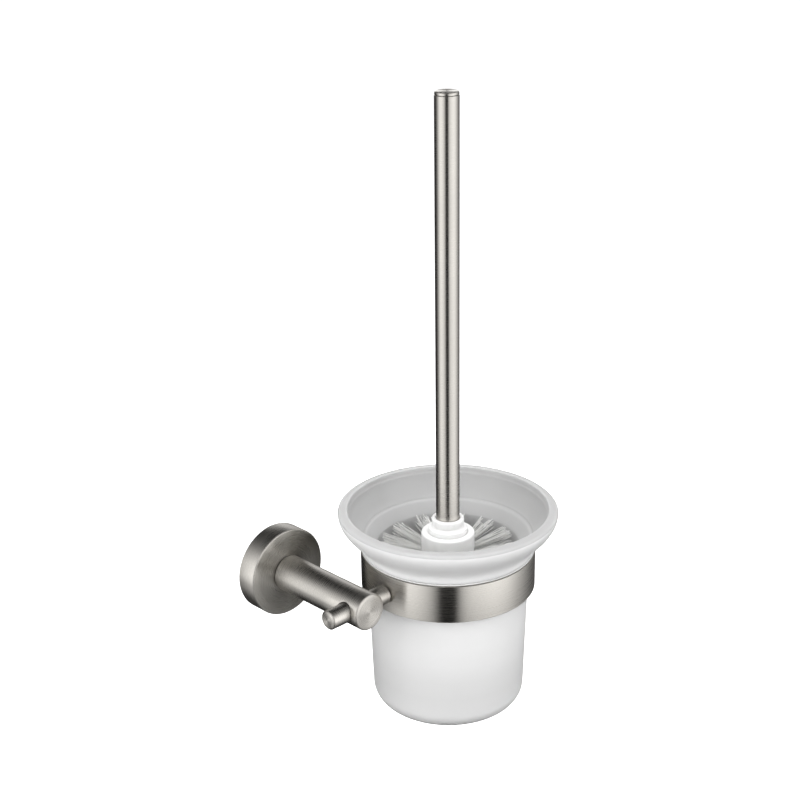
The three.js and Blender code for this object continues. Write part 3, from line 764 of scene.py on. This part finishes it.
def makeLiner():
    low, high = span("ring_liner", 2)
    lipRadius, lipRound = halfWidth("ring_liner"), linerSet["lipRound"]
    outer = halfWidth("ring_band") - bandSet["wall"] - linerSet["gap"]
    inner = outer - linerSet["wall"]
    seat = high - linerSet["lip"]
    footEdge, topEdge = linerSet["footEdge"], linerSet["topEdge"]
    outline = [(inner, low + footEdge), (inner + footEdge, low), (outer - footEdge, low),
               (outer, low + footEdge), (outer, seat), (lipRadius - lipRound, seat)]
    outline += arc(lipRadius - lipRound, seat + lipRound, lipRound, -90, 0, 3)
    outline += arc(lipRadius - lipRound, high - lipRound, lipRound, 0, 90, 3)
    outline += [(inner + topEdge, high), (inner, high - topEdge)]
    liner = turnedObject("ring_liner_sleeve", outline, steps=192, closed=True)
    return finishPiece(liner, clearLiner, "bracket", ["ring_liner"], ringPlace)


cupSet = {
    "sides": 160,
    "taper": 2.5,  # how much less radius the foot has than the neck
    "footFillet": 9.6,
    "puntRadius": 26,
    "puntDepth": 0.8,
    "puntCurve": (-0.5, 0.3, 0.4, 1.8),  # its wall's start, handles and end, out from its radius
    "floor": 6,
    "floorRing": 12,
    "footWall": 4.1,
    "neckWall": 5.2,
    "neckGap": 0.3,
    "innerFillet": 8,
    # corners are lists of (out, up) from the corner they round
    "neckCorner": [(0, -1.4), (0.1, -0.5), (0.4, -0.05), (0.7, 0)],
    "shoulderGap": 0.3,  # over the liner's lip
    "shoulderInset": 0.3,
    "shoulderCorner": [(-0.6, 0), (-0.15, 0.2)],
    "shoulderHeight": 1,
    "throatRise": 0.1,
    "throatCorner": [(0.25, 0.28), (0, -0.3)],
    "stepInset": 1.2,
    "stepRise": 7.3,
    "stepWidth": 1.4,
    "stepDrop": 0.8,
    "stepCorner": [(-0.15, -0.3), (-0.45, -0.55)],
    "ledgeCorner": [(0.3, 0.08), (0, 0)],
    "rimRound": 1.6,
    "rimFall": 0.6,
    "lipWidth": 5.0,
    "lipRound": 0.8,
    "lipHeight": 3.2,
    "lipDraft": 0.8,
    "lipHollow": [(-0.25, 1.0), (-0.45, 0.45)],
    # curve handles of the flare, as shares of its width and height
    "outerHandles": ((0.09, 0.33), (0.97, 0.54)),
    "innerHandles": ((0.93, 0.62), (0.4, 0.16)),
    # how much light goes on through the glass, and painted shade that greys it: (millimetres above the
    # shoulder, share) up the outside
    "passingAndShade": [(-90, 0.49), (-75, 0.50), (-66, 0.56), (-45, 0.29), (0, 0.29), (1.5, 0.0), (5, 0.04),
                (9, 0.14), (15, 0.36), (24, 0.42)],
    # painted shade as well as light passing through: the rim, the inside of the flare and the throat take
    # the grey tone
    "rimPassingAndShade": 1.0,
    "flarePassingAndShade": 1.0,
    "throatPassingAndShade": 0.92,
}


def makeCup():
    c = cupSet
    low, high = span("glass_cup", 2)
    rim, bandRadius = halfWidth("glass_cup"), halfWidth("ring_band")
    neck = bandRadius - bandSet["wall"] - linerSet["gap"] - linerSet["wall"] - c["neckGap"]
    foot, throat = neck - c["taper"], neck - c["neckWall"]
    bore = foot - c["footWall"]
    shoulder = span("ring_liner", 2)[1] + c["shoulderGap"]
    edge = bandRadius - c["shoulderInset"]
    fillet, floor = c["footFillet"], low + c["floor"]

    # up the outside: punt, foot, wall, shoulder, flare and rim
    punt = low + c["puntDepth"]
    puntStart, puntOut, puntIn, puntEnd = (c["puntRadius"] + shift for shift in c["puntCurve"])
    outside = [(0, punt), (c["puntRadius"] / 2, punt)]
    outside += sweep((puntStart, punt), (puntOut, punt), (puntIn, low), (puntEnd, low), 5)
    outside += arc(foot - fillet, low + fillet, fillet, -90, 0, 14)
    neckCorner = fromCorner((neck, shoulder), c["neckCorner"])
    outside += divide((foot, low + fillet), neckCorner[0], 8) + neckCorner
    outside += fromCorner((edge, shoulder), c["shoulderCorner"])
    start, rimEdge = shoulder + c["shoulderHeight"], high - c["rimFall"] - c["rimRound"]
    tall, out = rimEdge - start, rim - edge
    handles = [(edge + out * x, start + tall * y) for x, y in c["outerHandles"]]
    outside += sweep((edge, start), *handles, (rim, rimEdge), 22)
    rimPoints = arc(rim - c["rimRound"], rimEdge, c["rimRound"], 12, 80, 6)

    # down the inside: lip, flare, step, throat and floor
    lip, lipRound, lipFoot = rim - c["lipWidth"], c["lipRound"], high - c["lipHeight"]
    inside = arc(lip + lipRound, high - lipRound, lipRound, 96, 180, 6)
    inside += fromCorner((lip, lipFoot), c["lipHollow"])
    step, stepHeight = edge - c["stepInset"], shoulder + c["stepRise"]
    deep, wide = lipFoot - stepHeight, lip - c["lipDraft"] - step
    handles = [(step + wide * x, stepHeight + deep * y) for x, y in c["innerHandles"]]
    inside += sweep((lip - c["lipDraft"], lipFoot), *handles, (step, stepHeight), 22)
    inside += fromCorner((step, stepHeight), c["stepCorner"])
    ledge = (step - c["stepWidth"], stepHeight - c["stepDrop"])
    throatTop, innerFillet = (throat, shoulder + c["throatRise"]), c["innerFillet"]
    inside += fromCorner(ledge, c["ledgeCorner"]) + divide(ledge, throatTop, 5)
    inside += fromCorner(throatTop, c["throatCorner"])
    inside += divide(throatTop, (bore, floor + innerFillet), 6)
    inside += arc(bore - innerFillet, floor + innerFillet, innerFillet, 0, -90, 10)
    inside += [(c["floorRing"], floor), (0, floor)]

    outline = outside + rimPoints + inside
    cup = turnedObject("cup_glass", outline, steps=c["sides"])
    # painted shade: the share greys the glass by height up the outside and over the rim, flare and throat,
    # besides standing for light that passes through
    passingAndShade = [between(c["passingAndShade"], height - shoulder) for _, height in outside]
    passingAndShade += [c["rimPassingAndShade"]] * len(rimPoints)
    passingAndShade += [c["flarePassingAndShade"] if height > ledge[1] else c["throatPassingAndShade"] for _, height in inside]
    perVert = [value for value, (radius, _) in zip(passingAndShade, outline)
               for _ in range(c["sides"] if radius > 0 else 1)]
    shade = cup.data.attributes.new("passingAndShade", "FLOAT", "POINT")
    shade.data.foreach_set("value", perVert)
    cup.visible_glossy = False  # so the handle mirrors the studio down to its foot
    return finishPiece(cup, etchedGlass, "cup", ["glass_cup"], ringPlace, 40)


handleSet = {
    "wall": 0.8,
    "topEdge": 0.15,
    "capInset": 0.15,
    "capRound": 0.9,
    "capRings": (3.4, 1.7, 0),  # radii that divide its flat top
    "plugGap": 0.3,
    "plugDepth": 10.5,
    "plugEdge": 0.5,
}


def makeHandle():
    h = handleSet
    radius = halfWidth("handle_tube")
    low, high = span("handle_tube", 2)
    inner, edge = radius - h["wall"], h["topEdge"]
    outline = [(inner, low), (radius - edge, low), (radius, low + edge)]
    outline += divide((radius, low), (radius, high), 8)
    outline += [(radius, high - edge), (radius - edge, high), (inner, high)]
    tube = turnedObject("handle_tube_steel", outline, steps=96, closed=True)
    finishPiece(tube, satinSteel, "brush", ["handle_tube"], ringPlace)
    top = span("handle_cap", 2)[1]
    capRadius, capRound, capLow = radius - h["capInset"], h["capRound"], high + h["plugGap"]
    plug, plugLow, plugEdge = inner - h["plugGap"], top - h["plugDepth"], h["plugEdge"]
    outline = [(0, plugLow), (plug - plugEdge, plugLow), (plug, plugLow + plugEdge), (plug, capLow),
               (capRadius, capLow)]
    outline += arc(capRadius - capRound, top - capRound, capRound, 0, 90, 8)
    outline += [(r, top) for r in h["capRings"]]
    cap = turnedObject("handle_cap_steel", outline, steps=96)
    return finishPiece(cap, satinSteel, "brush", ["handle_cap"], ringPlace)


headSet = {
    "gap": 0.3,  # between the white pieces, and round the handle
    "edge": 0.2,
    "spigotHole": 4.5,
    "skirtRadius": 10.1,
    "skirtHeight": 3.2,
    "neckRadius": 8.3,
    # (out, up) from the neck's foot
    "neckHollow": [(0.5, 0.15), (-0.1, 0.6), (-0.35, 1.1), (-0.05, 1.7), (0, 2.2)],
    "round": 0.7,
    "collarRadius": 13.7,
    "collarHeight": 11,
    "collarRound": 1.0,
    "coreRadius": 8.5,
    "coreRound": 3,
    "holeSpare": 2,  # depth of the hole past the spigot's end
}


def makeFerrule():
    h = headSet
    low, high = span("brush_ferrule", 2)
    socket, socketFloor = halfWidth("handle_tube") + h["gap"], span("handle_tube", 2)[0] - h["gap"]
    skirt, neck, edge, r = h["skirtRadius"], h["neckRadius"], h["edge"], h["round"]
    skirtTop = low + h["skirtHeight"]
    outline = [(h["spigotHole"], low), (skirt - edge, low), (skirt, low + edge)]
    outline += arc(skirt - r, skirtTop - r, r, 0, 90, 5)
    outline += fromCorner((neck, skirtTop), h["neckHollow"])
    outline += arc(neck - r, high - r, r, 0, 90, 5)
    outline += [(socket + edge, high), (socket, high - edge), (socket, socketFloor),
                (h["spigotHole"], socketFloor)]
    ferrule = turnedObject("ferrule_moulding", outline, steps=96, closed=True)
    return finishPiece(ferrule, whiteMoulding, "brush", ["brush_ferrule"], ringPlace)


def makeCore():
    h = headSet
    low, high = span("brush_core", 2)
    recess, recessRadius = span("brush_ferrule", 2)[0] - h["gap"], h["skirtRadius"] + h["gap"]
    core, collar, edge, hole = h["coreRadius"], h["collarRadius"], h["edge"], h["spigotHole"]
    coreRound, r = h["coreRound"], h["collarRound"]
    collarLow = high - h["collarHeight"]
    holeFloor = span("handle_spigot", 2)[0] - h["holeSpare"]
    outline = [(0, low)] + arc(core - coreRound, low + coreRound, coreRound, -90, 0, 6)
    outline += divide((core, low), (core, collarLow), 6) + [(core, collarLow)]
    outline += arc(collar - r, collarLow + r, r, -90, 0, 5)
    outline += arc(collar - r, high - r, r, 0, 90, 5)
    outline += [(recessRadius + edge, high), (recessRadius, high - edge), (recessRadius, recess),
                (hole, recess), (hole, holeFloor), (0, holeFloor)]
    moulding = turnedObject("brush_core_moulding", outline, steps=96)
    return finishPiece(moulding, whiteMoulding, "brush", ["brush_core"], ringPlace)


tuftSet = {
    "tufts": 12,
    "filaments": 34,
    "thickness": 0.34,  # a little more than the real 0.3 so that single filaments show
    "holeRadius": 1.4,
    "rootSink": 0.6,  # into the core
    "fan": 4.6,  # to each side at the tips
    "fanSpread": 1.1,  # how far past the fan a tip may stray, as a factor
    "bend": 1.4,
    "trim": 1.6,
    "rimGap": 0.2,
    "firstDrop": 6.6,  # from the top of the first row down to its holes
    "pitch": 11.6,  # from row to row
    "holeDrop": 2.6,
    "tipRise": 6.6,  # tips of the first row above their holes
    "riseLoss": 2,  # for each further row
    "tipHigh": 0.4,  # the tips' band, down from that rise
    "tipLow": 7.0,
    "turn": 0.12,
    "strayAcross": 0.09,
    "strayUp": 0.12,
    "seed": 11,
    "straySeed": 77,
    "twistSeed": 31,
}


def makeTuftTree():
    # one ring of tufts: each filament runs from a hole in the core to a trimmed tip
    tree, given = startTree("tuftRing", {
        "Tufts": "Int", "Filaments": "Int", "Root low": "Vector", "Root high": "Vector",
        "Tip low": "Vector", "Tip high": "Vector", "First turn": "Float", "Thickness": "Float",
        "Bend": "Float", "Seed": "Int", "Material": "Material"})
    count = addNode(tree, "ShaderNodeMath",
                    {0: given["Tufts"], 1: given["Filaments"]}, operation="MULTIPLY")
    points = addNode(tree, "GeometryNodePoints", {"Count": count})
    index = addNode(tree, "GeometryNodeInputIndex")
    share = addNode(tree, "ShaderNodeMath", {0: index, 1: given["Filaments"]}, operation="DIVIDE")
    tuft = addNode(tree, "ShaderNodeMath", {0: share}, operation="FLOOR")
    pitch = addNode(tree, "ShaderNodeMath", {0: 2 * math.pi, 1: given["Tufts"]}, operation="DIVIDE")
    turn = addNode(tree, "ShaderNodeMath",
                   {0: tuft, 1: pitch, 2: given["First turn"]}, operation="MULTIPLY_ADD")
    spread = addNode(tree, "FunctionNodeRandomValue",
                     {0: (0, 0, 0), 1: (1, 1, 1), "ID": index, "Seed": given["Seed"]},
                     data_type="FLOAT_VECTOR")
    across, up = tuftSet["strayAcross"], tuftSet["strayUp"]
    stray = addNode(tree, "FunctionNodeRandomValue",
                    {0: (0, -across, -up), 1: (0, across, up), "ID": index,
                     "Seed": tuftSet["straySeed"]}, data_type="FLOAT_VECTOR")
    tipSpread = addNode(tree, "ShaderNodeVectorMath", {0: spread, 1: stray}, operation="ADD")
    ends = []
    for end, factor in (("Root", spread), ("Tip", tipSpread)):
        local = addNode(tree, "ShaderNodeMix",
                        {1: factor, 4: given[end + " low"], 5: given[end + " high"]},
                        data_type="VECTOR", factor_mode="NON_UNIFORM")
        ends.append(addNode(tree, "ShaderNodeVectorRotate",
                            {"Vector": local.outputs[1], "Angle": turn}, rotation_type="Z_AXIS"))
    placed = addNode(tree, "GeometryNodeSetPosition", {"Geometry": points, "Position": ends[0]})
    run = addNode(tree, "ShaderNodeVectorMath", {0: ends[1], 1: ends[0]}, operation="SUBTRACT")
    length = addNode(tree, "ShaderNodeVectorMath", {0: run}, operation="LENGTH")
    scale = addNode(tree, "ShaderNodeCombineXYZ", {"X": 1.0, "Y": 1.0, "Z": length.outputs["Value"]})
    aim = addNode(tree, "FunctionNodeAlignRotationToVector", {"Vector": run}, axis="Z")
    # one filament of unit length, bent by its middle point
    middle = addNode(tree, "ShaderNodeCombineXYZ", {"X": given["Bend"], "Y": 0.0, "Z": 0.5})
    line = addNode(tree, "GeometryNodeCurveQuadraticBezier",
                   {"Resolution": 4, "Start": (0, 0, 0), "Middle": middle, "End": (0, 0, 1)})
    half = addNode(tree, "ShaderNodeMath", {0: given["Thickness"], 1: 0.5}, operation="MULTIPLY")
    section = addNode(tree, "GeometryNodeCurvePrimitiveCircle", {"Resolution": 5, "Radius": half})
    filament = addNode(tree, "GeometryNodeCurveToMesh",
                       {"Curve": line, "Profile Curve": section, "Fill Caps": True})
    copies = addNode(tree, "GeometryNodeInstanceOnPoints",
                     {"Points": placed, "Instance": filament, "Rotation": aim, "Scale": scale})
    twist = addNode(tree, "FunctionNodeRandomValue",
                    {2: -math.pi, 3: math.pi, "ID": index, "Seed": tuftSet["twistSeed"]}, data_type="FLOAT")
    twistTurn = addNode(tree, "ShaderNodeCombineXYZ", {"X": 0.0, "Y": 0.0, "Z": twist.outputs[1]})
    twisted = addNode(tree, "GeometryNodeRotateInstances", {"Instances": copies, "Rotation": twistTurn})
    endTree(tree, twisted, given["Material"])
    return tree


def growTufts(tree, name, node, tufts, ends, firstTurn, seed):
    # ends are the low and high corners of the roots and of the tips, in millimetres
    rootLow, rootHigh, tipLow, tipHigh = (tuple(part * mm for part in corner) for corner in ends)
    piece = growPiece(tree, name, {
        "Tufts": tufts, "Filaments": tuftSet["filaments"], "Root low": rootLow, "Root high": rootHigh,
        "Tip low": tipLow, "Tip high": tipHigh, "First turn": firstTurn,
        "Thickness": tuftSet["thickness"] * mm, "Bend": tuftSet["bend"] * mm, "Seed": seed,
        "Material": nylonFilament})
    finishPiece(piece, nylonFilament, "brush", [node], ringPlace, 60)


def makeTuftRows(tree):
    t = tuftSet
    rows = sorted(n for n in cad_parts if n.startswith("bristle_row_"))
    rootRadius, hole, fan = headSet["coreRadius"] - t["rootSink"], t["holeRadius"], t["fan"]
    for k, node in enumerate(rows):
        holeTop = span(rows[0], 2)[1] - t["firstDrop"] - k * t["pitch"]
        holeHeight = holeTop - t["holeDrop"]
        tipTop = holeTop + t["tipRise"] - t["riseLoss"] * k
        reach = math.sqrt((halfWidth(node) - t["rimGap"]) ** 2 - (fan * t["fanSpread"]) ** 2)
        ends = ((rootRadius, -hole, holeHeight - hole), (rootRadius, hole, holeHeight + hole),
                (reach - t["trim"], -fan, tipTop - t["tipLow"]), (reach, fan, tipTop - t["tipHigh"]))
        halfPitch = math.pi / t["tufts"]
        growTufts(tree, "tufts_row_" + str(k + 1), node, t["tufts"], ends,
                  halfPitch * (k % 2) + t["turn"], t["seed"] + k)


tipSet = {
    "tufts": 6,
    "root": (2.7, 5.3),  # from the axis
    "rootHalf": 1.3,
    "rootRise": (1.0, 1.2),  # above the node's top, inside the core
    "tip": (5.0, 13.0),
    "tipHalf": 4.2,
    "tipRise": (0.2, 0.9),
    "turn": 0.3,
    "seed": 41,
}


def makeTipTufts(tree):
    t = tipSet
    low, high = span("bristle_tip", 2)
    ends = ((t["root"][0], -t["rootHalf"], high + t["rootRise"][0]),
            (t["root"][1], t["rootHalf"], high + t["rootRise"][1]),
            (t["tip"][0], -t["tipHalf"], low + t["tipRise"][0]),
            (t["tip"][1], t["tipHalf"], low + t["tipRise"][1]))
    growTufts(tree, "tufts_tip", "bristle_tip", t["tufts"], ends, t["turn"], t["seed"])


threadSet = {
    "radius": 1.9,
    "pointRadius": 0.4,
    "pitch": 1.6,
    "turns": 5.0,
    "pointTurns": 2.0,
    "height": 0.62,
    "from": 0.4,  # behind the wall plane
}


def makeThreadTree():
    # the ridge of a wood screw's thread: turns on the shank, then turns that run in to its point
    tree, given = startTree("screwThread", {
        "Radius": "Float", "Point radius": "Float", "Pitch": "Float", "Turns": "Float",
        "Point turns": "Float", "Height": "Float", "Material": "Material"})
    ridge = addNode(tree, "GeometryNodeCurvePrimitiveCircle",
                    {"Resolution": 3, "Radius": given["Height"]})
    joined = addNode(tree, "GeometryNodeJoinGeometry")
    shank = addNode(tree, "ShaderNodeMath", {0: given["Turns"], 1: given["Pitch"]}, operation="MULTIPLY")
    for turns, endRadius, start in (("Turns", "Radius", 0.0), ("Point turns", "Point radius", shank)):
        tall = addNode(tree, "ShaderNodeMath", {0: given[turns], 1: given["Pitch"]}, operation="MULTIPLY")
        helix = addNode(tree, "GeometryNodeCurveSpiral",
                        {"Resolution": 20, "Rotations": given[turns], "Start Radius": given["Radius"],
                         "End Radius": given[endRadius], "Height": tall})
        thread = addNode(tree, "GeometryNodeCurveToMesh",
                         {"Curve": helix, "Profile Curve": ridge, "Fill Caps": True})
        lift = addNode(tree, "ShaderNodeCombineXYZ", {"Z": start})
        placed = addNode(tree, "GeometryNodeSetPosition", {"Geometry": thread, "Offset": lift})
        tree.links.new(placed.outputs[0], joined.inputs[0])
    endTree(tree, joined, given["Material"])
    return tree


def makeThreads():
    # the part of each wall screw that goes into the wall
    t = threadSet
    tree = makeThreadTree()
    for side in ("upper", "lower"):
        low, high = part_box("wall_screw_" + side)
        thread = growPiece(tree, "wall_thread_" + side, {
            "Radius": t["radius"] * mm, "Point radius": t["pointRadius"] * mm, "Pitch": t["pitch"] * mm,
            "Turns": t["turns"], "Point turns": t["pointTurns"], "Height": t["height"] * mm / 2,
            "Material": screwSteel})
        centre = Vector(((low.x + high.x) / 2, t["from"] * mm, (low.z + high.z) / 2))
        intoWall = Matrix.Translation(centre) @ Matrix.Rotation(-math.pi / 2, 4, "X")
        finishPiece(thread, screwSteel, "bracket", [], intoWall, 25)


keptNodes = {
    "wall_plate": zincPlate,
    "wall_screw_upper": screwSteel,
    "wall_screw_lower": screwSteel,
    "rose_grub_screw": screwSteel,
    "arm_washer": screwSteel,
    "arm_screw": screwSteel,
    "rod_grub_screw": screwSteel,
    "band_screw": screwSteel,
    "handle_spigot": screwSteel,
}


def dressKeptNodes():
    # the CAD pieces that stay as they are only get their metal
    for name, material in keptNodes.items():
        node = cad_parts[name]
        node.data.materials.clear()
        node.data.materials.append(material)


makeRose()
makeArm()
makeCrossRod()
makeThreads()
print("stage: rose, arm, cross rod and screws")
makeBand()
makeLiner()
makeCup()
print("stage: ring and cup")
makeHandle()
makeFerrule()
makeCore()
tuftTree = makeTuftTree()
makeTuftRows(tuftTree)
makeTipTufts(tuftTree)
print("stage: brush")
dressKeptNodes()
